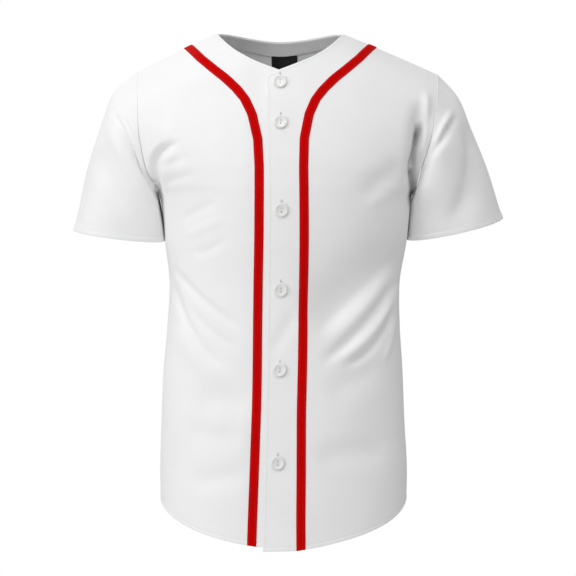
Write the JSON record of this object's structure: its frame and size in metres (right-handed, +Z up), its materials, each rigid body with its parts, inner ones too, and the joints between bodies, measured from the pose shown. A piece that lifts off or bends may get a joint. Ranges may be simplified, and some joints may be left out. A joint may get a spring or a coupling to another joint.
{
  "type": "baseball jersey",
  "caption": "Plain white knit baseball jersey with short sleeves, a button front, a collarless V neck and red braid beside the placket, filled out as worn.",
  "frame": {"origin": "middle of the neck opening, level with its back edge, where the shoulders of whoever wears it hold it up", "axes": "+Z up from hem to neck; the front with the buttons faces -Y; the wearer's left is +X"},
  "size_m": [0.629, 0.255, 0.7565],
  "materials": {
    "white_knit": "matte double knit",
    "red_braid": "matte woven braid",
    "label_cloth": "matte woven label",
    "button_plastic": "gloss"
  },
  "bodies": {
    "root": {"front_left": "white_knit", "front_right": "white_knit", "back": "white_knit", "sleeve_left": "white_knit", "sleeve_right": "white_knit", "neck_facing": "white_knit", "neck_label": "label_cloth", "braid_left": "red_braid", "braid_right": "red_braid", "button_1": "button_plastic", "button_2": "button_plastic", "button_3": "button_plastic", "button_4": "button_plastic", "button_5": "button_plastic", "button_6": "button_plastic"}
  },
  "joints": []
}
